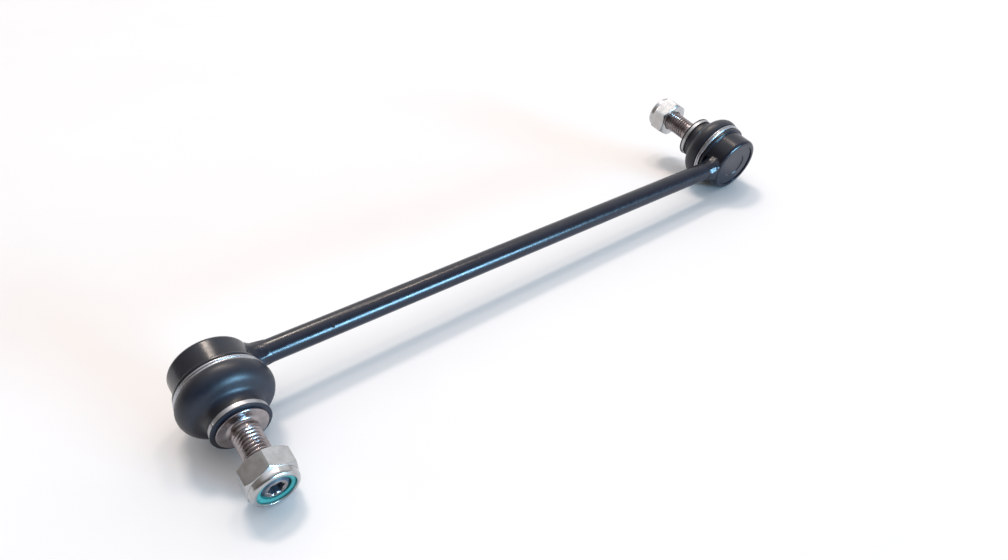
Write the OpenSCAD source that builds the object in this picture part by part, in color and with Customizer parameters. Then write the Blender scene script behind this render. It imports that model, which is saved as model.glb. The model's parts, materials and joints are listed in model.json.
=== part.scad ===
// Stabilizer link: a round steel rod with a sealed ball joint welded to each end.
// The studs point opposite ways, and the link lies on a bench: one boot and its nut
// touch the bench at the near end, and the back of the housing touches it at the far end.
// Each ball joint is drawn along +Z, with Z = 0 on the axis of the rod.

/* [Rod] */
// Distance between the axes of the two studs
end_spacing = 274; // [180:1:400]
// Diameter of the connecting rod
rod_d = 8.9; // [7:0.1:9.2]
// Length of the weld fillet along the rod
weld_length = 6.5; // [3:0.1:10]
// Height of the weld fillet above the rod, where it meets the housing
weld_height = 2; // [1:0.1:3]
// Thickness of the edge of the weld on the rod
weld_toe = 0.25; // [0.1:0.05:0.5]

/* [Housing] */
// Outer diameter of the housing
housing_d = 28.6; // [28:0.1:30]
// Depth of the housing behind the axis of the rod
housing_back = 4.8; // [4.7:0.1:6]
// Radius of the rounded edge at the back of the housing
back_round = 1.8; // [0.8:0.1:2.4]
// Thickness of the rim that is rolled over the cover plate
rim_t = 0.6; // [0.4:0.1:1]
// Width of the rolled rim, measured inwards from the bore
rim_w = 1.1; // [0.5:0.1:2]
// Wall of the housing around the ball seat
housing_wall = 1.6; // [1.4:0.05:2.2]
// Outer diameter of the lip below the boot
lip_d = 31.4; // [30:0.1:32]
// Thickness of that lip
lip_t = 1.9; // [1.2:0.1:2]
// Thickness of the edge that keeps the ball seat in
mouth_t = 0.8; // [0.6:0.1:1.2]
// Diameter of the mouth of the housing
mouth_d = 17.6; // [17:0.1:19]

/* [Cover plate] */
// Thickness of the cover plate
cover_t = 1.6; // [1:0.1:2]
// Diameter of the pressed circle in the cover plate
press_d = 13; // [8:0.5:18]
// Depth of the pressed circle
press_t = 0.4; // [0.2:0.1:0.6]

/* [Ball seat] */
// Thickness of the floor of the ball seat
seat_floor = 1.2; // [1:0.1:1.6]
// Half angle of the opening of the ball seat
seat_open_angle = 58; // [56:0.5:60]

/* [Ball stud] */
// Diameter of the ball
ball_d = 16; // [15.5:0.1:17]
// Diameter of the neck above the ball
neck_d = 9; // [8:0.1:9.2]
// Diameter of the cylinder that carries the boot
boot_seat_d = 12.4; // [11.4:0.1:13.4]
// Diameter of the flange
flange_d = 18; // [17:0.1:20]
// Thickness of the flange
flange_t = 0.9; // [0.8:0.1:2]
// Distance from the axis of the rod to the face of the flange
flange_z = 26.1; // [25.5:0.1:30]
// Nominal diameter of the thread and of the plain shank
thread_d = 10; // [9:0.1:10.4]
// Lead of the thread
thread_pitch = 1.5; // [1:0.25:1.75]
// Height of the fillet from the flange to the shank
shank_fillet = 1.3; // [0.8:0.1:2]
// Length of the plain shank
shank_length = 3; // [2.5:0.1:4]
// Distance from the face of the flange to the end of the stud
stud_length = 25.6; // [25:0.1:40]
// Width of the six-lobe drive socket in the end of the stud
socket_d = 6; // [4:0.1:6.6]
// Depth of the drive socket
socket_depth = 4; // [2:0.5:6]

/* [Dust boot] */
// Largest diameter of the boot
boot_d = 33.8; // [33:0.1:35]
// Height of the largest diameter above the axis of the rod
boot_z = 12; // [11.6:0.1:13]
// Radius of the bulge of the boot
boot_round = 5.8; // [5:0.1:6]
// Radius of the hollow between the bulge and the small end
boot_hollow = 3.2; // [2:0.1:3.6]
// Wall of the boot
boot_wall = 1.6; // [1.2:0.1:2]
// Wall of the boot under the large ring
boot_bead = 1.55; // [1.2:0.05:1.7]
// Outer diameter of the lip against the flange
boot_lip_d = 21.2; // [20.4:0.1:22]
// Thickness of that lip
boot_lip_t = 0.6; // [0.5:0.1:1]
// Wall of the boot under the small ring
boot_collar = 3.4; // [2.8:0.1:3.8]

/* [Clamp rings] */
// Diameter of the wire of the large ring
wire_d = 1.15; // [0.8:0.05:1.3]
// Height of the large ring above the axis of the rod
ring_z = 8.3; // [8:0.1:8.6]
// Width of the small ring along the stud
small_ring_w = 1.7; // [1.2:0.1:2.2]
// Thickness of the small ring
small_ring_t = 0.6; // [0.4:0.05:0.8]

/* [Lock nut] */
// Width across the flats of the nut
nut_af = 17; // [16:0.5:18]
// Distance from the face of the flange to the face of the nut
nut_gap = 15.4; // [12:0.1:16.5]
// Height of the hexagon
nut_hex_h = 8; // [6:0.1:8.4]
// Height of the nut over its collar
nut_h = 10.9; // [10.2:0.1:12]
// Diameter of the collar
collar_d = 16.6; // [15.6:0.1:17]
// Diameter of the nylon ring
insert_d = 13.9; // [12.5:0.1:14.2]
// Height of the nylon ring
insert_h = 2.5; // [2:0.1:3]

/* [Fits] */
// Gap between the ball and its seat
ball_gap = 0.05; // [0.02:0.01:0.1]
// Gap between pieces that are pressed or welded together
seat_gap = 0.05; // [0.02:0.01:0.1]
// Gap between rubber and the pieces that it turns on
rubber_gap = 0.1; // [0.05:0.01:0.15]
// Gap between the nut and the thread
thread_gap = 0.06; // [0.03:0.01:0.1]

/* [Hidden] */
$fn = 72;
NEAR = -1;
FAR = 1;

// Radii that several pieces share
rod_r = rod_d / 2;
housing_r = housing_d / 2;
bore_r = housing_r - housing_wall;
ball_r = ball_d / 2;
neck_r = neck_d / 2;
thread_r = thread_d / 2;
boot_seat_r = boot_seat_d / 2;
// A thread of this lead is drawn as a cylinder at its mean radius
thread_mean_r = thread_r - 0.27 * thread_pitch;

// Heights along the stud, from the back of the housing upwards
cover_z = rim_t - housing_back;
seat_z = cover_z + cover_t;
ball_z = seat_z + seat_floor + ball_gap + ball_r;
seat_r = ball_r + ball_gap;
seat_top_z = ball_z + seat_r * cos(seat_open_angle);
mouth_z = seat_top_z + mouth_t;

// The large ring is two turns of wire beside each other, just above the lip
wire_pitch = 0.96 * wire_d;
ring_w = wire_pitch + wire_d;
lip_z = ring_z - ring_w / 2 - rubber_gap;
spigot_r = bore_r + 0.55;
bead_r = spigot_r + rubber_gap + boot_bead;
wire_r = bead_r + rubber_gap + wire_d / 2;

// The small end of the boot lies against the flange
flange_back_z = flange_z - flange_t;
boot_top_z = flange_back_z - rubber_gap;
collar_in_r = boot_seat_r + rubber_gap;
collar_r = collar_in_r + boot_collar;
small_ring_z = boot_top_z - boot_lip_t - rubber_gap - small_ring_w;

// The bulge, the straight flank and the hollow of the boot meet tangentially
bulge_r = boot_d / 2 - boot_round;
flank_angle = 70;
flank_start = [bulge_r + boot_round * cos(flank_angle), boot_z + boot_round * sin(flank_angle)];
flank_run = flank_start[0] + boot_hollow * (cos(flank_angle) - 1) - collar_r;
flank_length = flank_run / sin(flank_angle);
hollow_centre = flank_start + flank_length * [-sin(flank_angle), cos(flank_angle)]
              + boot_hollow * [cos(flank_angle), sin(flank_angle)];
bead_top_z = ring_z + ring_w / 2 + rubber_gap;
bulge_start_angle = -asin((boot_z - bead_top_z) / boot_round);

// Heights of the thread and of the nut
shank_z = flange_z + shank_fillet;
thread_z = shank_z + shank_length;
stud_end_z = flange_z + stud_length;
nut_z = flange_z + nut_gap;
nut_top_z = nut_z + nut_h;
nut_bore_r = thread_mean_r + thread_gap;
nut_corner_r = nut_af / sqrt(3);
nut_chamfer = 0.7 * (nut_corner_r - nut_af / 2);

// How the link lies on the bench: the lean brings a boot and a nut corner to the same height,
// and the pitch lowers the far end until the back of its housing is down as well
foot_r = nut_corner_r - nut_chamfer / 4;
foot_z = nut_z + nut_hex_h - nut_chamfer;
foot_run = [foot_z - boot_z, bulge_r - foot_r];
lean = atan2(foot_run[1], foot_run[0]) + asin(boot_round / norm(foot_run));
near_drop = bulge_r * cos(lean) + boot_z * sin(lean) + boot_round;
far_drop = (housing_r - back_round) * cos(lean) + (housing_back - back_round) * sin(lean) + back_round;
pitch = asin((near_drop - far_drop) / end_spacing);

coat = [0.10, 0.10, 0.11];
rubber = [0.07, 0.07, 0.08];
zinc = [0.78, 0.79, 0.81];
steel = [0.66, 0.67, 0.70];
acetal = [0.90, 0.88, 0.82];
teal = [0.10, 0.58, 0.57];

// Points of an arc round centre c, in the plane of a revolved outline
function arc(c, r, from, to, steps = 12) =
    [for (k = [0 : steps]) c + r * [cos(from + (to - from) * k / steps), sin(from + (to - from) * k / steps)]];

// Turns the whole link to the way it lies on the bench
module lying() {
    rotate([0, pitch, 0]) children();
}

// Moves a ball joint to its end of the rod; the studs point opposite ways
module at_end(side) {
    lying() translate([side * end_spacing / 2, 0, 0]) rotate([lean - side * 90, 0, 0]) children();
}

// Solid outline of the housing, grown by a gap, to trim what is welded to it
module housing_envelope(gap) {
    rotate_extrude() polygon(concat(
        [[0, -housing_back - gap]],
        arc([housing_r - back_round, back_round - housing_back], back_round + gap, -90, 0),
        [[housing_r + gap, lip_z - lip_t - gap], [lip_d / 2 + gap, lip_z - lip_t - gap],
         [lip_d / 2 + gap, lip_z], [0, lip_z]]));
}

module link_rod() {
    color(coat) lying() difference() {
        rotate([0, 90, 0]) cylinder(r = rod_r, h = end_spacing, center = true);
        for (side = [NEAR, FAR])
            translate([side * end_spacing / 2, 0, 0]) rotate([lean - side * 90, 0, 0])
                housing_envelope(seat_gap);
    }
}

// Hollow weld fillet around the rod, cut to the wall of the housing and flush with its back
module weld(side) {
    toe_x = housing_r + weld_length;
    root_x = housing_r / 2;
    crest_r = rod_r + weld_height + weld_toe;
    steps = 8;
    color(coat) rotate([0, 0, side == FAR ? 180 : 0]) difference() {
        intersection() {
            rotate([0, 90, 0]) rotate_extrude() polygon(concat(
                [[rod_r + seat_gap, root_x], [rod_r + seat_gap, toe_x]],
                [for (k = [0 : steps])
                    [crest_r - weld_height * cos(90 * k / steps), toe_x - weld_length * sin(90 * k / steps)]],
                [[crest_r, root_x]]));
            translate([0, -crest_r, -housing_back]) cube([toe_x, 2 * crest_r, housing_back + lip_z]);
        }
        housing_envelope(seat_gap);
    }
}

module housing() {
    rim_r = bore_r - rim_w;
    edge = 0.4;
    color(coat) rotate_extrude() polygon(concat(
        [[rim_r, -housing_back]],
        arc([housing_r - back_round, back_round - housing_back], back_round, -90, 0),
        [[housing_r, lip_z - lip_t], [lip_d / 2 - edge, lip_z - lip_t], [lip_d / 2, lip_z - lip_t + edge],
         [lip_d / 2, lip_z - edge], [lip_d / 2 - edge, lip_z], [spigot_r, lip_z],
         [spigot_r, mouth_z - edge], [spigot_r - edge, mouth_z], [mouth_d / 2 + edge, mouth_z],
         [mouth_d / 2, mouth_z - edge], [mouth_d / 2, seat_top_z], [bore_r, seat_top_z],
         [bore_r, cover_z], [rim_r, cover_z]]));
}

module cover_plate() {
    color(coat) difference() {
        translate([0, 0, cover_z]) cylinder(r = bore_r - seat_gap, h = cover_t);
        translate([0, 0, cover_z - press_t]) cylinder(d = press_d, h = 2 * press_t);
    }
}

module ball_seat() {
    color(acetal) difference() {
        translate([0, 0, seat_z]) cylinder(r = bore_r - seat_gap, h = seat_top_z - seat_z);
        translate([0, 0, ball_z]) sphere(r = seat_r);
    }
}

// Six-lobe socket: a round hole with six round lobes
module drive_socket() {
    lobe_r = socket_d / 8;
    translate([0, 0, stud_end_z - socket_depth]) {
        cylinder(d = socket_d - 2 * lobe_r, h = 2 * socket_depth);
        for (k = [0 : 5])
            rotate([0, 0, 60 * k]) translate([socket_d / 2 - lobe_r, 0, 0])
                cylinder(r = lobe_r, h = 2 * socket_depth, $fn = 32);
    }
}

module ball_stud() {
    shoulder_z = small_ring_z - 3;
    shoulder_h = 2;
    flange_r = flange_d / 2;
    edge = 0.3;
    root_r = thread_r + shank_fillet;
    point = 0.8;
    color(zinc) difference() {
        union() {
            translate([0, 0, ball_z]) sphere(r = ball_r);
            rotate_extrude() polygon(concat(
                [[0, ball_z], [neck_r, ball_z], [neck_r, shoulder_z - shoulder_h], [boot_seat_r, shoulder_z],
                 [boot_seat_r, flange_back_z], [flange_r - edge, flange_back_z],
                 [flange_r, flange_back_z + edge], [flange_r, flange_z - edge], [flange_r - edge, flange_z]],
                arc([root_r, shank_z], shank_fillet, 270, 180, 6),
                [[thread_r, thread_z], [thread_mean_r, thread_z + thread_r - thread_mean_r],
                 [thread_mean_r, stud_end_z - point], [thread_mean_r - point, stud_end_z], [0, stud_end_z]]));
        }
        drive_socket();
    }
}

module dust_boot() {
    inner_round = boot_round - boot_wall;
    inner_hollow = boot_hollow + boot_wall;
    edge = 0.25;
    bead_in_r = spigot_r + rubber_gap;
    groove_z = small_ring_z - rubber_gap;
    color(rubber) rotate_extrude() polygon(concat(
        [[bead_in_r, lip_z + rubber_gap], [bead_r, lip_z + rubber_gap], [bead_r, bead_top_z]],
        arc([bulge_r, boot_z], boot_round, bulge_start_angle, flank_angle),
        arc(hollow_centre, boot_hollow, flank_angle + 180, 180, 6),
        [[collar_r, groove_z], [collar_r, boot_top_z - boot_lip_t],
         [boot_lip_d / 2 - edge, boot_top_z - boot_lip_t], [boot_lip_d / 2, boot_top_z - boot_lip_t + edge],
         [boot_lip_d / 2, boot_top_z - edge], [boot_lip_d / 2 - edge, boot_top_z],
         [collar_in_r, boot_top_z], [collar_in_r, hollow_centre[1] + boot_wall]],
        arc(hollow_centre, inner_hollow, 180, flank_angle + 180, 6),
        arc([bulge_r, boot_z], inner_round, flank_angle, bulge_start_angle),
        [[bead_in_r, bead_top_z]]));
}

module large_ring() {
    color(steel) for (turn = [-1, 1])
        translate([0, 0, ring_z + turn * wire_pitch / 2])
            rotate_extrude() translate([wire_r, 0]) circle(d = wire_d, $fn = 32);
}

module small_ring() {
    inner_r = collar_r + rubber_gap;
    edge = small_ring_t / 4;
    color(steel) translate([0, 0, small_ring_z]) rotate_extrude() polygon([
        [inner_r, 0], [inner_r + small_ring_t - edge, 0], [inner_r + small_ring_t, edge],
        [inner_r + small_ring_t, small_ring_w - edge], [inner_r + small_ring_t - edge, small_ring_w],
        [inner_r, small_ring_w]]);
}

module lock_nut() {
    flat_r = nut_af / 2;
    collar_round = (nut_h - nut_hex_h) / 2;
    pocket_r = insert_d / 2 + thread_gap;
    pocket_z = nut_top_z - insert_h - thread_gap;
    color(zinc) difference() {
        union() {
            intersection() {
                translate([0, 0, nut_z]) rotate([0, 0, 30]) cylinder(r = nut_corner_r, h = nut_hex_h, $fn = 6);
                rotate_extrude() polygon([
                    [0, nut_z], [flat_r - nut_chamfer / 4, nut_z], [nut_corner_r, nut_z + nut_chamfer],
                    [nut_corner_r, nut_z + nut_hex_h - nut_chamfer], [collar_d / 2, nut_z + nut_hex_h],
                    [0, nut_z + nut_hex_h]]);
            }
            rotate_extrude() polygon(concat(
                [[0, nut_z + nut_hex_h / 2], [collar_d / 2, nut_z + nut_hex_h / 2]],
                arc([collar_d / 2 - collar_round, nut_top_z - collar_round], collar_round, 0, 90),
                [[0, nut_top_z]]));
        }
        cylinder(r = nut_bore_r, h = 2 * nut_top_z);
        translate([0, 0, pocket_z]) cylinder(r = pocket_r, h = 2 * insert_h);
    }
}

module nut_insert() {
    edge = 0.3;
    insert_r = insert_d / 2;
    insert_z = nut_top_z - insert_h;
    top = insert_h - edge;
    color(teal) translate([0, 0, insert_z]) rotate_extrude() polygon([
        [nut_bore_r, 0], [insert_r, 0], [insert_r, top - edge], [insert_r - edge, top],
        [nut_bore_r + edge, top], [nut_bore_r, top - edge]]);
}

link_rod();
at_end(NEAR) weld(NEAR);  // near_weld
at_end(NEAR) housing();  // near_housing
at_end(NEAR) cover_plate();  // near_cover_plate
at_end(NEAR) ball_seat();  // near_ball_seat
at_end(NEAR) ball_stud();  // near_ball_stud
at_end(NEAR) dust_boot();  // near_dust_boot
at_end(NEAR) large_ring();  // near_large_ring
at_end(NEAR) small_ring();  // near_small_ring
at_end(NEAR) lock_nut();  // near_lock_nut
at_end(NEAR) nut_insert();  // near_nut_insert
at_end(FAR) weld(FAR);  // far_weld
at_end(FAR) housing();  // far_housing
at_end(FAR) cover_plate();  // far_cover_plate
at_end(FAR) ball_seat();  // far_ball_seat
at_end(FAR) ball_stud();  // far_ball_stud
at_end(FAR) dust_boot();  // far_dust_boot
at_end(FAR) large_ring();  // far_large_ring
at_end(FAR) small_ring();  // far_small_ring
at_end(FAR) lock_nut();  // far_lock_nut
at_end(FAR) nut_insert();  // far_nut_insert
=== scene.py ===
"""Stabilizer link: a coated steel rod with a sealed ball joint at each end, lying on a pale bench.

Heights along a stud are measured from the axis of the rod, and the frame gives every place.
"""
import json
import math

import bmesh
import bpy
import numpy as np
from mathutils import Matrix, Vector


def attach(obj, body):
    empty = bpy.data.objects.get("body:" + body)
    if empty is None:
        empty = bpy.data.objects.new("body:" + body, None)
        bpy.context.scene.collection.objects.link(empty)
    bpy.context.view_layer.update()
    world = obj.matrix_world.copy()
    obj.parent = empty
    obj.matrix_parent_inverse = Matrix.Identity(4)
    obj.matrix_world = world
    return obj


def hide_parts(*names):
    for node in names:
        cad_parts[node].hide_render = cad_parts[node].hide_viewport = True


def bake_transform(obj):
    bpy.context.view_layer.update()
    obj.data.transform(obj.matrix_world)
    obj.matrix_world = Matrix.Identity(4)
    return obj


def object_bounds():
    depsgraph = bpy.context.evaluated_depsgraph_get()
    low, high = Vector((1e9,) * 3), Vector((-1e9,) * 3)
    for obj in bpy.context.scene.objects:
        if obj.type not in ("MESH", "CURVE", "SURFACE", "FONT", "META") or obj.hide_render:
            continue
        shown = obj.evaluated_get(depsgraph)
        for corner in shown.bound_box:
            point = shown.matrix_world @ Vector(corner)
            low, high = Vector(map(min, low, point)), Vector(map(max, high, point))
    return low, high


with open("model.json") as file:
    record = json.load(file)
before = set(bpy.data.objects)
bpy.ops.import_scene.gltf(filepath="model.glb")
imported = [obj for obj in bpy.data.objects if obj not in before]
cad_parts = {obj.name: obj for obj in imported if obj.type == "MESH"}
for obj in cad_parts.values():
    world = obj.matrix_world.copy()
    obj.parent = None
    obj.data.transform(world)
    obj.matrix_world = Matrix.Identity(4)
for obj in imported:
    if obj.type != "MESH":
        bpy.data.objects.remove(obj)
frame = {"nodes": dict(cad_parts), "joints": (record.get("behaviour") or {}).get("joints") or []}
cad_low, cad_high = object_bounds()

MM = 0.001
SIDES = {"near": -1, "far": 1}

# Rod and welds
NIB_ALONG = -92.6 * MM
NIB_TURN = math.radians(-46)
NIB_HEIGHT = 0.35 * MM
NIB_WIDTH = 0.55 * MM
NIB_REACH = 3
NIB_ROWS = 25
ROD_ROWS = 61
ROD_END_CLEAR = 1.2
WELD_TOE = 0.04 * MM
WELD_LENGTH = 6.5 * MM
WELD_HEIGHT = 2 * MM
WELD_RAGGED = 0.45 * MM
WELD_LUMPS = 60
WELD_LUMP_W = 1.1 * MM
WELD_LUMP_H = 0.42 * MM
WELD_LUMP_LOW = (0, 0.05, -0.4, 0.6)
WELD_LUMP_HIGH = (2 * math.pi, 0.9, 1, 1.3)
WELD_SEED = {"near": 5, "far": 8}
WELD_WAVES = range(2, 16)
WELD_ROWS = 36
WELD_TAPER = 0.5
WELD_SLACK = 1.1

# Housing and cover plate
WALL_R = 14.3 * MM
BACK_ROUND = 1.8 * MM
RIM_R = 11.6 * MM
LIP_T = 1.9 * MM
SPIGOT_R = 13.25 * MM
MOUTH_R = 8.8 * MM
PRESS_R = 6.5 * MM
PRESS_T = 0.4 * MM
HOUSING_EDGE = 0.35 * MM

# Boot and its rings, with where along its turn a ring steps over to its second layer
BOOT_Z = 12 * MM
BOOT_ROUND = 5.8 * MM
BOOT_HOLLOW = 3.2 * MM
BOOT_WALL = 1.6 * MM
BOOT_FLANK = math.radians(70)
BOOT_LIP_R = 10.6 * MM
BOOT_EDGE = 0.25 * MM
RUBBER_GAP = 0.1 * MM
WIRE_TURNS = 1.98
WIRE_STEP_AT = 5.6
WIRE_STEP_OVER = 1.2
WIRE_SIDES = 16
BAND_TURNS = 1.97
BAND_STEP_AT = 5.4
BAND_STEP_OVER = 1.4
BAND_START = math.radians(132)

# Stud, thread and drive socket
NECK_R = 4.5 * MM
NECK_TAPER = 2 * MM
NECK_ROUND = 1 * MM
SHOULDER_DROP = 3 * MM
STUD_EDGE = 0.3 * MM
BOOT_SEAT_R = 6.2 * MM
FLANGE_T = 0.9 * MM
FLANGE_Z = 26.1 * MM
THREAD_R = 5 * MM
THREAD_PITCH = 1.5 * MM
THREAD_DEPTH = 0.82 * MM
THREAD_POINT = 1.3 * MM
THREAD_POINT_EDGE = 0.1 * MM
THREAD_SLOPE = 2.6
THREAD_FLAT = 0.25
THREAD_ROWS = 12
SHANK_FILLET = 1.3 * MM
SHANK_LENGTH = 3 * MM
THREAD_RUNOUT = 2 * MM
THREAD_FADE = 1.5
SOCKET_R = 2.6 * MM
SOCKET_LOBE = 0.26 * MM
SOCKET_LOBES = 6
SOCKET_DEPTH = 4 * MM

# Nut and nylon ring
NUT_AF = 17 * MM
NUT_HEX_H = 8 * MM
NUT_CHAMFER = 0.92 * MM
NUT_BORE_R = 5.08 * MM
NUT_WORN = 0.06 * MM
NUT_FIT = 0.06 * MM
BORE_CHAMFER = 0.5 * MM
COLLAR_R = 8.3 * MM
COLLAR_ROUND = 1.45 * MM
COLLAR_LIP = 0.3 * MM
INSERT_DROP = 0.4 * MM
INSERT_DOME = 0.2 * MM
INSERT_CROWN = 1 * MM
CONE_ROWS = 14
FLAT_ROWS = 6

# Meshes
COLUMNS = 96
COIL_COLUMNS = 1.25 * COLUMNS
COIL_END = 0.8
ROUND_STEPS = 6
SHARP_ANGLE = math.radians(40)
MERGE_WITHIN = 1e-7


def place_of(end):
    """Frame of a ball joint, with Z along the stud, X along the rod and the origin on the rod's axis."""
    joint = {j["name"]: j for j in frame["joints"]}
    stud = Vector(joint[end + "_swing_direction"]["axis"]).normalized()
    along = Vector(joint[end + "_stud_tilt"]["axis"]).normalized()
    ball = Vector(joint[end + "_swing_direction"]["pos_m"])
    balls = [Vector(joint[side + "_swing_direction"]["pos_m"]) for side in SIDES]
    ball_z = (ball - (balls[0] + balls[1]) / 2).dot(stud)
    place = Matrix((along, stud.cross(along), stud)).transposed().to_4x4()
    place.translation = ball - stud * ball_z
    return place, ball_z


def local_points(node, place):
    """Points of a CAD node, seen from a frame."""
    inverse = place.inverted()
    return [inverse @ v.co for v in frame["nodes"][node].data.vertices]


def reach(node, place):
    """Inner radius, outer radius, bottom and top of a CAD node about the Z axis of a frame."""
    local = np.array(local_points(node, place))
    radius = np.hypot(local[:, 0], local[:, 1])
    return radius.min(), radius.max(), local[:, 2].min(), local[:, 2].max()


def corner_turn(node, place):
    """Angle about the Z axis of a frame of the point of a CAD node that is furthest from it."""
    far_point = max(local_points(node, place), key=lambda point: point.xy.length)
    return math.atan2(far_point.y, far_point.x)


def arc(centre, radius, start, end, steps=16):
    """Corners of an outline along an arc, with no fillet of their own."""
    return [
        (centre[0] + radius * math.cos(a), centre[1] + radius * math.sin(a), 0)
        for a in np.linspace(start, end, steps + 1)
    ]


def outline(corners, closed=False):
    """Points of an outline from corners (radius, height, fillet)."""
    points = []
    last = len(corners) - 1
    for k, (r, z, fillet) in enumerate(corners):
        corner = Vector((r, z))
        if not fillet or (not closed and k in (0, last)):
            points.append(corner)
            continue
        before = Vector(corners[k - 1][:2]) - corner
        after = Vector(corners[k + 1 if k < last else 0][:2]) - corner
        half = before.angle(after) / 2
        cut = min(fillet / math.tan(half), before.length / 2, after.length / 2)
        radius = cut * math.tan(half)
        before.normalize()
        after.normalize()
        centre = corner + (before + after).normalized() * radius / math.sin(half)
        start = corner + before * cut - centre
        turn = start.angle_signed(corner + after * cut - centre)
        for step in range(ROUND_STEPS + 1):
            part = turn * step / ROUND_STEPS
            points.append(centre + Matrix.Rotation(-part, 2) @ start)
    return [(p.x, p.y) for p in points]


def skin(name, grid, wrap_rows=False, wrap_columns=True):
    """Smooth mesh over a grid of points, with UV in millimetres around and along it."""
    rows, columns = grid.shape[:2]
    row_pairs = [(i, (i + 1) % rows) for i in range(rows if wrap_rows else rows - 1)]
    column_pairs = [(j, (j + 1) % columns) for j in range(columns if wrap_columns else columns - 1)]
    faces = [
        (i * columns + j, i * columns + k, m * columns + k, m * columns + j)
        for i, m in row_pairs
        for j, k in column_pairs
    ]
    around = np.linalg.norm(np.diff(grid, axis=1), axis=2).sum(1).max() / MM / columns
    along = np.append(0, np.cumsum(np.linalg.norm(np.diff(grid, axis=0), axis=2).max(1))) / MM
    along = np.append(along, along[-1] + np.linalg.norm(grid[-1] - grid[0], axis=1).max() / MM)
    uv = [
        (around * (j + dj), along[i + di])
        for i, _ in row_pairs
        for j, _ in column_pairs
        for dj, di in ((0, 0), (1, 0), (1, 1), (0, 1))
    ]
    mesh = bpy.data.meshes.new(name)
    mesh.from_pydata(grid.reshape(-1, 3).tolist(), [], faces)
    mesh.uv_layers.new(name="UVMap").data.foreach_set("uv", np.array(uv, np.float32).ravel())
    work = bmesh.new()
    work.from_mesh(mesh)
    bmesh.ops.remove_doubles(work, verts=work.verts, dist=MERGE_WITHIN)
    bmesh.ops.recalc_face_normals(work, faces=work.faces)
    work.to_mesh(mesh)
    work.free()
    mesh.shade_smooth()
    mesh.set_sharp_from_angle(angle=SHARP_ANGLE)
    piece = bpy.data.objects.new(name, mesh)
    bpy.context.scene.collection.objects.link(piece)
    return piece


def angles(columns=COLUMNS):
    """Even angles round a circle."""
    return np.linspace(0, 2 * math.pi, columns, endpoint=False)


def lathe(name, rows, closed=False, columns=COLUMNS):
    """Piece revolved about Z from rows (radius, height); a radius may vary with the angle."""
    turn = angles(columns)
    grid = np.zeros((len(rows), columns, 3))
    for row, (radius, height) in zip(grid, rows):
        row[:, 0] = radius * np.cos(turn)
        row[:, 1] = radius * np.sin(turn)
        row[:, 2] = height
    return skin(name, grid, wrap_rows=closed)


def coil(name, turns, radii, heights, section, way=1):
    """Piece swept round Z along a coil; section holds (outward, upward) offsets of its outline."""
    steps = int(COIL_COLUMNS * turns)
    turn = np.linspace(0, 2 * math.pi * turns, steps)
    radii = np.broadcast_to(radii(turn), steps)
    heights = np.broadcast_to(heights(turn), steps)
    ends = np.ones(steps)
    ends[[0, -1]] = 0
    ends[[1, -2]] = COIL_END
    grid = np.zeros((steps, len(section), 3))
    for k, (out, up) in enumerate(section):
        radius = radii + ends * out
        x, y = radius * np.cos(turn), way * radius * np.sin(turn)
        grid[:, k] = np.stack((x, y, heights + ends * up), axis=1)
    return skin(name, grid)


def smooth(x):
    """Step from 0 to 1 with soft ends."""
    x = np.clip(x, 0, 1)
    return x * x * (3 - 2 * x)


def fill_ramp(ramp, stops):
    """Colours at places from 0 to 1 of a ramp."""
    elements = ramp.color_ramp.elements
    while len(elements) < len(stops):
        elements.new(0.5)
    for element, (place, colour) in zip(elements, stops):
        element.position = place
        element.color = (*colour, 1)


class Finish:
    """A material whose detail is worked out from a piece's own coordinates."""

    def __init__(self, name, **sockets):
        self.material = bpy.data.materials.new(name)
        self.material.use_nodes = True
        self.nodes = self.material.node_tree.nodes
        self.links = self.material.node_tree.links
        self.shader = self.nodes["Principled BSDF"]
        for socket, value in sockets.items():
            self.shader.inputs[socket.replace("_", " ")].default_value = value
        where = self.nodes.new("ShaderNodeTexCoord")
        self.space = {"object": where.outputs["Object"], "uv": where.outputs["UV"]}
        self.normal = None

    def noise(self, scale, detail=2.0, space="object", stretch=(1, 1, 1)):
        """Noise with about scale features in a unit of the space: a metre, or a millimetre of UV."""
        mapping = self.nodes.new("ShaderNodeMapping")
        mapping.inputs["Scale"].default_value = stretch
        self.links.new(self.space[space], mapping.inputs["Vector"])
        noise = self.nodes.new("ShaderNodeTexNoise")
        noise.inputs["Scale"].default_value = scale
        noise.inputs["Detail"].default_value = detail
        self.links.new(mapping.outputs["Vector"], noise.inputs["Vector"])
        return noise.outputs["Fac"]

    def colour(self, value, *stops):
        """Base colour that follows a value."""
        node = self.nodes.new("ShaderNodeValToRGB")
        fill_ramp(node, stops)
        self.links.new(value, node.inputs["Fac"])
        self.links.new(node.outputs["Color"], self.shader.inputs["Base Color"])

    def roughness(self, value, low, high):
        """Roughness that follows the middle of a value's range."""
        node = self.nodes.new("ShaderNodeMapRange")
        node.inputs["From Min"].default_value = 0.3
        node.inputs["From Max"].default_value = 0.7
        node.inputs["To Min"].default_value = low
        node.inputs["To Max"].default_value = high
        self.links.new(value, node.inputs["Value"])
        self.links.new(node.outputs["Result"], self.shader.inputs["Roughness"])

    def bump(self, value, strength, height):
        """Relief of a real height; calls add up."""
        node = self.nodes.new("ShaderNodeBump")
        node.inputs["Strength"].default_value = strength
        node.inputs["Distance"].default_value = height
        self.links.new(value, node.inputs["Height"])
        if self.normal:
            self.links.new(self.normal, node.inputs["Normal"])
        self.normal = node.outputs["Normal"]
        self.links.new(self.normal, self.shader.inputs["Normal"])


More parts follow.
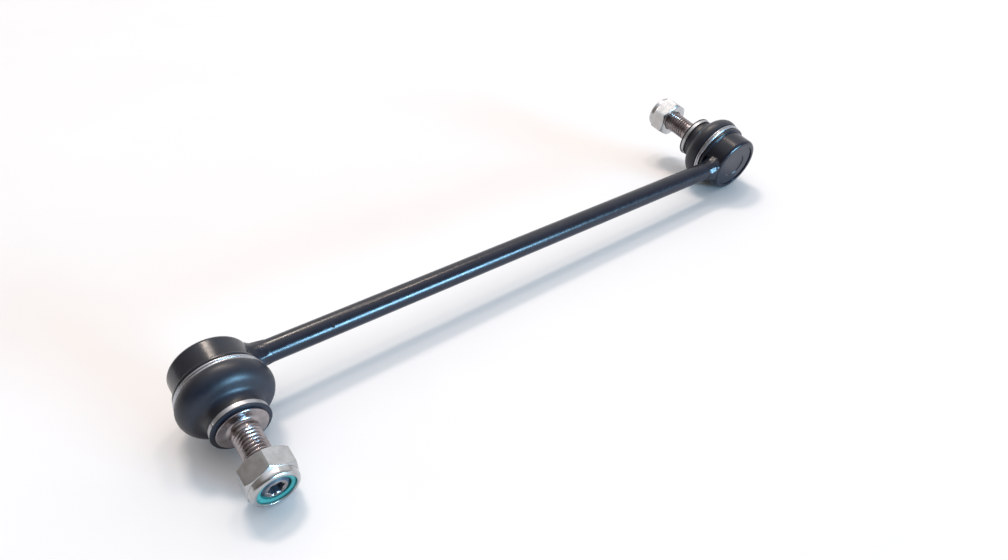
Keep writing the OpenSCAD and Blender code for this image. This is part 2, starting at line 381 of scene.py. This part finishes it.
def coat_finish(name, peel, rough):
    """Black coat over steel; peel is the strength of its ripple."""
    finish = Finish(name, IOR=1.5, Specular_IOR_Level=0.45)
    finish.colour(finish.noise(160, 4), (0.3, (0.004, 0.006, 0.013)), (0.7, (0.008, 0.010, 0.019)))
    finish.roughness(finish.noise(420, 3), *rough)
    finish.bump(finish.noise(600, 2), peel, 0.1 * MM)
    finish.bump(finish.noise(2400, 2), peel, 0.008 * MM)
    return finish.material


def rubber_finish():
    """Moulded black rubber with a slight sheen."""
    finish = Finish("boot_rubber", IOR=1.5, Specular_IOR_Level=0.48)
    finish.colour(finish.noise(220, 5), (0.3, (0.005, 0.007, 0.014)), (0.72, (0.009, 0.012, 0.021)))
    finish.roughness(finish.noise(500, 3), 0.37, 0.45)
    finish.bump(finish.noise(2600, 3), 0.2, 0.02 * MM)
    return finish.material


def plate_finish(name, dark, light, rough, grain, marks):
    """Zinc plate over turned, rolled or forged steel; marks are fine lines round the piece."""
    finish = Finish(name, Metallic=1.0)
    finish.colour(finish.noise(330, 4), (0.3, dark), (0.7, light))
    finish.roughness(finish.noise(900, 4), *rough)
    finish.bump(finish.noise(1500, 3), grain, 0.02 * MM)
    finish.bump(finish.noise(3, 2, "uv", (0.05, 3, 1)), marks, 0.015 * MM)
    return finish.material


def ring_finish(name, tone, rough):
    """Drawn steel wire, with fine lines along it."""
    finish = Finish(name, Metallic=1.0)
    dark = tuple(0.86 * c for c in tone)
    finish.colour(finish.noise(400, 3), (0.3, dark), (0.7, tone))
    finish.roughness(finish.noise(700, 3), *rough)
    finish.bump(finish.noise(1, 2, "uv", (0.6, 0.05, 1)), 0.1, 0.02 * MM)
    return finish.material


def plastic_finish(name, dark, light, rough):
    """Moulded plastic, or a dark dull finish painted on steel as shade."""
    finish = Finish(name, IOR=1.5)
    finish.colour(finish.noise(500, 4), (0.3, dark), (0.7, light))
    finish.roughness(finish.noise(900, 3), *rough)
    finish.bump(finish.noise(2200, 2), 0.2, 0.02 * MM)
    return finish.material


COAT = coat_finish("coated_steel", peel=0.3, rough=(0.2, 0.28))
WELD_COAT = coat_finish("coated_weld", peel=0.8, rough=(0.22, 0.38))
RUBBER = rubber_finish()
STUD_PLATE = plate_finish(
    "zinc_stud",
    dark=(0.26, 0.232, 0.236),
    light=(0.41, 0.37, 0.372),
    rough=(0.16, 0.26),
    grain=0.08,
    marks=0.3,
)
NUT_PLATE = plate_finish(
    "zinc_nut",
    dark=(0.43, 0.43, 0.43),
    light=(0.53, 0.545, 0.555),
    rough=(0.18, 0.27),
    grain=0.05,
    marks=0.1,
)
WIRE_STEEL = ring_finish("wire_steel", tone=(0.48, 0.49, 0.52), rough=(0.24, 0.32))
BAND_STEEL = ring_finish("band_steel", tone=(0.46, 0.47, 0.49), rough=(0.34, 0.46))
# Painted shade: a dark dull finish put in the stud's socket and on its thread's point, where the zinc
# lies in shade.
PAINTED_SHADE = plastic_finish(
    "painted_shade_steel", dark=(0.04, 0.05, 0.07), light=(0.07, 0.085, 0.115), rough=(0.4, 0.55)
)
TEAL = plastic_finish(
    "teal_nylon", dark=(0.030, 0.20, 0.175), light=(0.042, 0.26, 0.23), rough=(0.35, 0.5)
)
ACETAL = plastic_finish(
    "seat_plastic", dark=(0.66, 0.63, 0.55), light=(0.76, 0.73, 0.66), rough=(0.3, 0.45)
)


def dress(piece, place, material):
    """Puts a piece in its place and gives it its finish."""
    piece.data.transform(place)
    piece.data.materials.append(material)
    return piece


def stand_in(piece, node, body):
    """The piece rides with a body and is shown for the CAD node."""
    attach(piece, body)
    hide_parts(node)


def build_rod():
    """Round bar between the two housings, with its ends cut to their walls and one nib in the coat."""
    near, _ = place_of("near")
    far, _ = place_of("far")
    along = (far.translation - near.translation).normalized()
    stud = near.col[2].to_3d()
    place = Matrix((stud, along.cross(stud), along)).transposed().to_4x4()
    place.translation = (near.translation + far.translation) / 2
    half = (far.translation - near.translation).length / 2
    _, radius, _, _ = reach("link_rod", place)
    turn = angles()
    wall = half - np.sqrt(WALL_R**2 - (radius * np.sin(turn)) ** 2)
    dense = NIB_ALONG + np.linspace(-NIB_REACH, NIB_REACH, NIB_ROWS) * NIB_WIDTH
    even = np.linspace(-1, 1, ROD_ROWS)[1:-1] * (half - ROD_END_CLEAR * WALL_R)
    levels = np.unique(np.concatenate((dense, even)))
    nib_turn = NIB_TURN % (2 * math.pi)
    off = np.minimum(abs(turn - nib_turn), abs(turn - nib_turn - 2 * math.pi))
    rows = [(radius, -wall)]
    for level in levels:
        away = np.hypot(off * radius, level - NIB_ALONG) / NIB_WIDTH
        rows.append((radius + NIB_HEIGHT * np.exp(-2 * away**2), level))
    rows.append((radius, wall))
    rod = dress(lathe("rod", rows), place, COAT)
    stand_in(rod, "link_rod", "link")
    return radius


def build_weld(end, rod_r):
    """Lumpy fillet of weld round the rod, against the wall of the housing."""
    place, _ = place_of(end)
    _, _, back, top = reach(end + "_weld", place)
    inward = -SIDES[end]
    turn = angles()
    chance = np.random.RandomState(WELD_SEED[end])
    crest = rod_r + WELD_TOE + WELD_HEIGHT
    limit = np.where(np.cos(turn) > 0, top, -back) / np.maximum(abs(np.cos(turn)), 1e-6)
    ragged = sum(
        chance.uniform(-1, 1) * np.sin(k * turn + chance.uniform(0, 6)) / k**0.5 for k in WELD_WAVES
    )
    toe = WALL_R + WELD_LENGTH - WELD_RAGGED * (1 + smooth(0.5 + ragged / 3))
    lumps = [chance.uniform(WELD_LUMP_LOW, WELD_LUMP_HIGH) for _ in range(WELD_LUMPS)]
    grid = []
    for part in np.linspace(0, 1, WELD_ROWS):
        bend = part * math.pi / 2
        swell = np.zeros_like(turn)
        for centre, depth, height, width in lumps:
            around = ((turn - centre + math.pi) % (2 * math.pi) - math.pi) * crest
            away = np.hypot(around, (part - depth) * WELD_LENGTH) / (width * WELD_LUMP_W)
            swell += WELD_LUMP_H * height * np.exp(-away**2)
        swell *= math.sin(math.pi * part) ** WELD_TAPER
        radius = np.minimum(crest - WELD_HEIGHT * math.cos(bend) + swell, limit)
        wall = np.sqrt(WALL_R**2 - (radius * np.sin(turn)) ** 2)
        run = toe + (wall - toe) * math.sin(bend) ** WELD_SLACK
        grid.append(np.stack((inward * run, radius * np.sin(turn), radius * np.cos(turn)), axis=1))
    under = np.full_like(turn, rod_r)
    wall = np.sqrt(WALL_R**2 - (under * np.sin(turn)) ** 2)
    for run in (wall, toe):
        grid.append(np.stack((inward * run, under * np.sin(turn), under * np.cos(turn)), axis=1))
    bead = skin(end + "_weld_bead", np.array(grid), wrap_rows=True)
    stand_in(dress(bead, place, WELD_COAT), end + "_weld", "link")


def build_housing(end):
    """Turned cup with a rounded back edge, a rolled rim, a lip and a spigot for the boot."""
    place, _ = place_of(end)
    _, lip_r, back, mouth = reach(end + "_housing", place)
    _, plate_r, plate_z, plate_top = reach(end + "_cover_plate", place)
    _, _, lip_z, _ = reach(end + "_dust_boot", place)
    lip_z -= RUBBER_GAP
    edge = HOUSING_EDGE
    rows = outline(
        [
            (RIM_R, back, edge),
            *arc((WALL_R - BACK_ROUND, back + BACK_ROUND), BACK_ROUND, -math.pi / 2, 0, steps=10),
            (WALL_R, lip_z - LIP_T, edge),
            (lip_r, lip_z - LIP_T, 2 * edge),
            (lip_r, lip_z, 2 * edge),
            (SPIGOT_R, lip_z, 0),
            (SPIGOT_R, mouth, edge),
            (MOUTH_R, mouth, edge),
            (MOUTH_R, mouth - 2 * edge, 0),
            (plate_r, mouth - 2 * edge, 0),
            (plate_r, plate_z, 0),
            (RIM_R, plate_z, 0),
        ],
        closed=True,
    )
    cup = dress(lathe(end + "_housing_cup", rows, closed=True), place, COAT)
    stand_in(cup, end + "_housing", "link")
    rows = outline(
        [
            (0, plate_z + PRESS_T, 0),
            (PRESS_R - PRESS_T, plate_z + PRESS_T, PRESS_T),
            (PRESS_R, plate_z, PRESS_T),
            (plate_r, plate_z, 0),
            (plate_r, plate_top, 0),
            (0, plate_top, 0),
        ]
    )
    plate = dress(lathe(end + "_back_plate", rows), place, COAT)
    stand_in(plate, end + "_cover_plate", "link")


def build_rings(end):
    """Large ring of two turns of wire round the boot, and small ring of flat wire at its other end."""
    place, _ = place_of(end)
    inner, outer, low, high = reach(end + "_large_ring", place)
    wire = (outer - inner) / 2
    middle = (inner + outer) / 2
    pitch = high - low - 2 * wire
    section = [(wire * math.cos(a), wire * math.sin(a)) for a in angles(WIRE_SIDES)]

    def rise(turn):
        return low + wire + pitch * smooth((turn - WIRE_STEP_AT) / WIRE_STEP_OVER)

    ring = coil(end + "_wire_ring", WIRE_TURNS, lambda turn: middle, rise, section)
    dress(ring, place, WIRE_STEEL)
    stand_in(ring, end + "_large_ring", "link")

    inner, outer, low, high = reach(end + "_small_ring", place)
    layer = (outer - inner) / 2
    edge = layer / 3
    corners = [
        (-layer / 2, low, edge),
        (layer / 2, low, edge),
        (layer / 2, high, edge),
        (-layer / 2, high, edge),
    ]
    level = (low + high) / 2
    section = [(r, z - level) for r, z in outline(corners, closed=True)]

    def spread(turn):
        return inner + layer / 2 + layer * smooth((turn - BAND_STEP_AT) / BAND_STEP_OVER)

    ring = coil(end + "_band_ring", BAND_TURNS, spread, lambda turn: level, section, way=-1)
    dress(ring, place @ Matrix.Rotation(BAND_START, 4, "Z"), BAND_STEEL)
    stand_in(ring, end + "_small_ring", end + "_boot_ring")


def build_boot(end):
    """Rubber boot: a bulge, a straight flank and a hollow that meet tangentially, and two beads."""
    place, _ = place_of(end)
    _, widest, low, high = reach(end + "_dust_boot", place)
    bead_r, _, _, bead_top = reach(end + "_large_ring", place)
    collar_r, _, groove, lip_z = reach(end + "_small_ring", place)
    bead_r -= RUBBER_GAP
    bead_top += RUBBER_GAP
    collar_r -= RUBBER_GAP
    groove -= RUBBER_GAP
    lip_z += RUBBER_GAP
    seat_r = BOOT_SEAT_R + RUBBER_GAP
    spigot = SPIGOT_R + RUBBER_GAP
    bulge = (widest - BOOT_ROUND, BOOT_Z)
    first = -math.asin((BOOT_Z - bead_top) / BOOT_ROUND)
    cos_flank, sin_flank = math.cos(BOOT_FLANK), math.sin(BOOT_FLANK)
    flank_run = bulge[0] + BOOT_ROUND * cos_flank + BOOT_HOLLOW * (cos_flank - 1) - collar_r
    hollow = (
        collar_r + BOOT_HOLLOW,
        bulge[1] + (BOOT_ROUND + BOOT_HOLLOW) * sin_flank + flank_run / sin_flank * cos_flank,
    )
    corners = [(spigot, low, 0), (bead_r, low, 0), (bead_r, bead_top, 0)]
    corners += arc(bulge, BOOT_ROUND, first, BOOT_FLANK, steps=28)
    corners += arc(hollow, BOOT_HOLLOW, BOOT_FLANK + math.pi, math.pi, steps=12)
    corners += [
        (collar_r, groove, 0),
        (collar_r, lip_z, 0),
        (BOOT_LIP_R, lip_z, BOOT_EDGE),
        (BOOT_LIP_R, high, BOOT_EDGE),
        (seat_r, high, 0),
        (seat_r, hollow[1] + BOOT_WALL, 0),
    ]
    corners += arc(hollow, BOOT_HOLLOW + BOOT_WALL, math.pi, BOOT_FLANK + math.pi, steps=8)
    corners += arc(bulge, BOOT_ROUND - BOOT_WALL, BOOT_FLANK, first, 16)
    corners += [(spigot, bead_top, 0)]
    boot = lathe(end + "_boot_skin", outline(corners, closed=True), closed=True)
    dress(boot, place, RUBBER)
    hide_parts(end + "_dust_boot")
    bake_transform(boot)


def build_stud(end):
    """Ball stud with a rolled thread and a six-lobe socket in its end."""
    place, ball_z = place_of(end)
    _, flange_r, bottom, tip = reach(end + "_ball_stud", place)
    _, _, band_z, _ = reach(end + "_small_ring", place)
    ball_r = ball_z - bottom
    turn = angles()
    shoulder = band_z - SHOULDER_DROP
    edge = STUD_EDGE
    shank_z = FLANGE_Z + SHANK_FILLET
    thread_z = shank_z + SHANK_LENGTH
    corners = arc((0, ball_z), ball_r, -math.pi / 2, math.acos(NECK_R / ball_r), steps=32)
    corners += [
        (NECK_R, shoulder - NECK_TAPER, NECK_ROUND),
        (BOOT_SEAT_R, shoulder, NECK_ROUND),
        (BOOT_SEAT_R, FLANGE_Z - FLANGE_T, 0),
        (flange_r, FLANGE_Z - FLANGE_T, edge),
        (flange_r, FLANGE_Z, edge),
    ]
    corners += arc((THREAD_R + SHANK_FILLET, shank_z), SHANK_FILLET, 1.5 * math.pi, math.pi, steps=8)
    rows = outline(corners)
    last_thread = tip - THREAD_POINT
    for z in np.arange(thread_z - THREAD_RUNOUT, tip, THREAD_PITCH / THREAD_ROWS):
        wave = (z / THREAD_PITCH - turn / (2 * math.pi)) % 1
        rise = np.clip(THREAD_SLOPE * abs(wave - 0.5) - THREAD_FLAT, 0, 1)
        fade = smooth((z - thread_z + THREAD_RUNOUT) / (THREAD_FADE * THREAD_PITCH))
        point = max(0, z - last_thread)
        rows.append((np.minimum(THREAD_R - THREAD_DEPTH * fade * rise, THREAD_R - point), z))
    mouth = SOCKET_R + SOCKET_LOBE * np.cos(SOCKET_LOBES * turn)
    rows += [
        (THREAD_R - THREAD_POINT - THREAD_POINT_EDGE, tip),
        (mouth + edge, tip),
        (mouth, tip - edge),
        (mouth, tip - SOCKET_DEPTH),
        (0, tip - SOCKET_DEPTH - edge),
    ]
    stud = lathe(end + "_threaded_stud", rows)
    # Faces in the socket and on the thread's point take the dark finish: painted shade, not a colour of
    # the zinc.
    for face in stud.data.polygons:
        radius, depth = face.center.xy.length, tip - face.center.z
        in_socket = radius < SOCKET_R + SOCKET_LOBE and edge < depth < 2 * SOCKET_DEPTH
        on_point = radius > THREAD_R - THREAD_POINT and depth < THREAD_POINT
        face.material_index = int(in_socket or on_point)
    dress(stud, place, STUD_PLATE)
    stud.data.materials.append(PAINTED_SHADE)
    stand_in(stud, end + "_ball_stud", end + "_stud")


def build_nut(end):
    """Hexagon nut with turned corners and a collar that is rolled over a nylon ring."""
    place, _ = place_of(end)
    _, corner_r, low, high = reach(end + "_lock_nut", place)
    insert_bore, insert_r, insert_low, insert_high = reach(end + "_nut_insert", place)
    insert_bore = max(insert_bore, THREAD_R + NUT_FIT)
    insert_high -= INSERT_DROP
    place = place @ Matrix.Rotation(corner_turn(end + "_lock_nut", place), 4, "Z")
    turn = angles()
    flat_r = NUT_AF / 2
    hexagon = flat_r / np.cos(turn % (math.pi / 3) - math.pi / 6)
    hexagon = np.minimum(hexagon, corner_r - NUT_WORN)
    hex_top = low + NUT_HEX_H
    pocket_r = insert_r + NUT_FIT
    pocket_z = insert_low - NUT_FIT
    face_r = flat_r - NUT_CHAMFER / 4
    cone = np.linspace(0, 1, CONE_ROWS)
    rows = [(NUT_BORE_R, pocket_z), (NUT_BORE_R, low + BORE_CHAMFER), (NUT_BORE_R + BORE_CHAMFER, low)]
    rows += [(face_r + (corner_r - face_r) * c, low + NUT_CHAMFER * c) for c in cone]
    rows += [(corner_r, z) for z in np.linspace(low + NUT_CHAMFER, hex_top - NUT_CHAMFER, FLAT_ROWS)]
    rows += [(corner_r + (COLLAR_R - corner_r) * c, hex_top - NUT_CHAMFER * (1 - c)) for c in cone]
    rows = [(np.minimum(r, hexagon) if r > face_r else r, z) for r, z in rows]
    lip_r = COLLAR_R - COLLAR_ROUND - COLLAR_LIP
    corners = arc((COLLAR_R - COLLAR_ROUND, high - COLLAR_ROUND), COLLAR_ROUND, 0, math.pi / 2, steps=12)
    corners += arc((lip_r + COLLAR_LIP, high - COLLAR_LIP), COLLAR_LIP, math.pi / 2, math.pi, steps=6)
    corners += [
        (lip_r, insert_high + NUT_FIT, 0),
        (pocket_r, insert_high + NUT_FIT, 0),
        (pocket_r, pocket_z, 0),
    ]
    nut = lathe(end + "_hex_nut", rows + outline(corners), closed=True)
    stand_in(dress(nut, place, NUT_PLATE), end + "_lock_nut", end + "_nut")
    corners = [
        (insert_bore, insert_low, 0),
        (insert_r, insert_low, 0),
        (insert_r, insert_high - INSERT_DOME, INSERT_DOME),
        ((insert_bore + insert_r) / 2, insert_high, INSERT_CROWN),
        (insert_bore, insert_high - INSERT_DOME, INSERT_DOME),
    ]
    ring = lathe(end + "_nylon_ring", outline(corners, closed=True), closed=True)
    stand_in(dress(ring, place, TEAL), end + "_nut_insert", end + "_nut_ring")


def build_seat(end):
    """The plastic seat of the ball keeps its CAD shape."""
    seat = frame["nodes"][end + "_ball_seat"]
    seat.data.materials.clear()
    seat.data.materials.append(ACETAL)


rod_radius = build_rod()
for joint_end in SIDES:
    build_weld(joint_end, rod_radius)
    build_housing(joint_end)
    build_rings(joint_end)
    build_boot(joint_end)
    build_stud(joint_end)
    build_nut(joint_end)
    build_seat(joint_end)


# Bench, light and camera
FLOOR_HALF = 6
CAMERA_PLACE = Vector((-167.5, -211.0, 180.3)) * MM
CAMERA_AZIMUTH = 36.575
CAMERA_ELEVATION = 36.459
CAMERA_ROLL = math.radians(-0.496)
CAMERA_LENS_MM = 26.458
CAMERA_NEAR = 5 * MM
BRIGHT_SIDE = (0.65, 0.65, 0.4)
SIDE_TONES = (
    (0.0, (0.12, 0.10, 0.09)),
    (0.5, (0.31, 0.28, 0.26)),
    (0.72, (0.58, 0.55, 0.55)),
    (1.0, (1.04, 1.04, 1.06)),
)
TOP_TONES = ((0.82, (0.0, 0.0, 0.0)), (0.97, (0.46, 0.5, 0.56)))
MIX_SIDE, MIX_TOP, MIX_RESULT = 6, 7, 2


def direction(azimuth, elevation):
    """Unit vector; azimuth 0 is +Y and 90 is +X."""
    a, e = math.radians(azimuth), math.radians(elevation)
    return Vector((math.sin(a) * math.cos(e), math.cos(a) * math.cos(e), math.sin(e)))


def build_floor():
    """Flat pale bench under the lowest point of the link."""
    finish = Finish("bench", IOR=1.45)
    finish.colour(finish.noise(9, 4), (0.3, (0.86, 0.855, 0.85)), (0.7, (0.885, 0.88, 0.875)))
    finish.roughness(finish.noise(30, 3), 0.55, 0.7)
    mesh = bpy.data.meshes.new("bench")
    signs = ((-1, -1), (1, -1), (1, 1), (-1, 1))
    corners = [(x * FLOOR_HALF, y * FLOOR_HALF, cad_low[2]) for x, y in signs]
    mesh.from_pydata(corners, [], [(0, 1, 2, 3)])
    floor = bpy.data.objects.new("bench", mesh)
    floor.data.materials.append(finish.material)
    bpy.context.scene.collection.objects.link(floor)


def softbox(name, azimuth, elevation, distance, width, height, radiance, colour):
    """Rectangular light of a set brightness that faces the link."""
    light = bpy.data.lights.new(name, "AREA")
    light.shape = "RECTANGLE"
    light.size = width
    light.size_y = height
    light.energy = radiance * math.pi * width * height
    light.color = colour
    lamp = bpy.data.objects.new(name, light)
    lamp.location = direction(azimuth, elevation) * distance
    lamp.rotation_euler = lamp.location.to_track_quat("Z", "Y").to_euler()
    lamp.visible_camera = False
    bpy.context.scene.collection.objects.link(lamp)


def build_world():
    """Pale room: bright overhead and on one side, warm and dim on the other."""
    world = bpy.data.worlds.new("room")
    world.use_nodes = True
    nodes, links = world.node_tree.nodes, world.node_tree.links
    where = nodes.new("ShaderNodeTexCoord")
    total = nodes.new("ShaderNodeMix")
    total.data_type = "RGBA"
    total.blend_type = "ADD"
    total.inputs["Factor"].default_value = 1
    for side, tones, socket in ((BRIGHT_SIDE, SIDE_TONES, MIX_SIDE), ((0, 0, 1), TOP_TONES, MIX_TOP)):
        facing = nodes.new("ShaderNodeVectorMath")
        facing.operation = "DOT_PRODUCT"
        facing.inputs[1].default_value = side
        links.new(where.outputs["Generated"], facing.inputs[0])
        share = nodes.new("ShaderNodeMapRange")
        share.inputs["From Min"].default_value = -1
        links.new(facing.outputs["Value"], share.inputs["Value"])
        ramp = nodes.new("ShaderNodeValToRGB")
        fill_ramp(ramp, tones)
        links.new(share.outputs["Result"], ramp.inputs["Fac"])
        links.new(ramp.outputs["Color"], total.inputs[socket])
    links.new(total.outputs[MIX_RESULT], nodes["Background"].inputs["Color"])
    bpy.context.scene.world = world


def build_camera():
    """Camera at the photograph's angle."""
    forward = direction(CAMERA_AZIMUTH, -CAMERA_ELEVATION)
    level = forward.cross(Vector((0, 0, 1))).normalized()
    up = level.cross(forward)
    right = level * math.cos(CAMERA_ROLL) + up * math.sin(CAMERA_ROLL)
    camera = bpy.data.cameras.new("camera")
    camera.lens = CAMERA_LENS_MM
    camera.clip_start = CAMERA_NEAR
    eye = bpy.data.objects.new("camera", camera)
    eye.matrix_world = Matrix((right, right.cross(forward), -forward)).transposed().to_4x4()
    eye.location = CAMERA_PLACE
    bpy.context.scene.collection.objects.link(eye)
    bpy.context.scene.camera = eye


build_floor()
build_world()
softbox(
    "tube_light",
    azimuth=17.5,
    elevation=58.5,
    distance=8,
    width=1.7,
    height=1.0,
    radiance=40,
    colour=(1.0, 0.86, 0.75),
)
softbox(
    "far_light",
    azimuth=54.6,
    elevation=64.5,
    distance=1.2,
    width=0.16,
    height=0.16,
    radiance=20,
    colour=(1.0, 0.80, 0.66),
)
softbox(
    "window_light",
    azimuth=159.1,
    elevation=6.4,
    distance=4,
    width=1.54,
    height=1.05,
    radiance=54,
    colour=(0.33, 0.68, 1.0),
)
build_camera()
bpy.context.scene.view_settings.view_transform = "Standard"
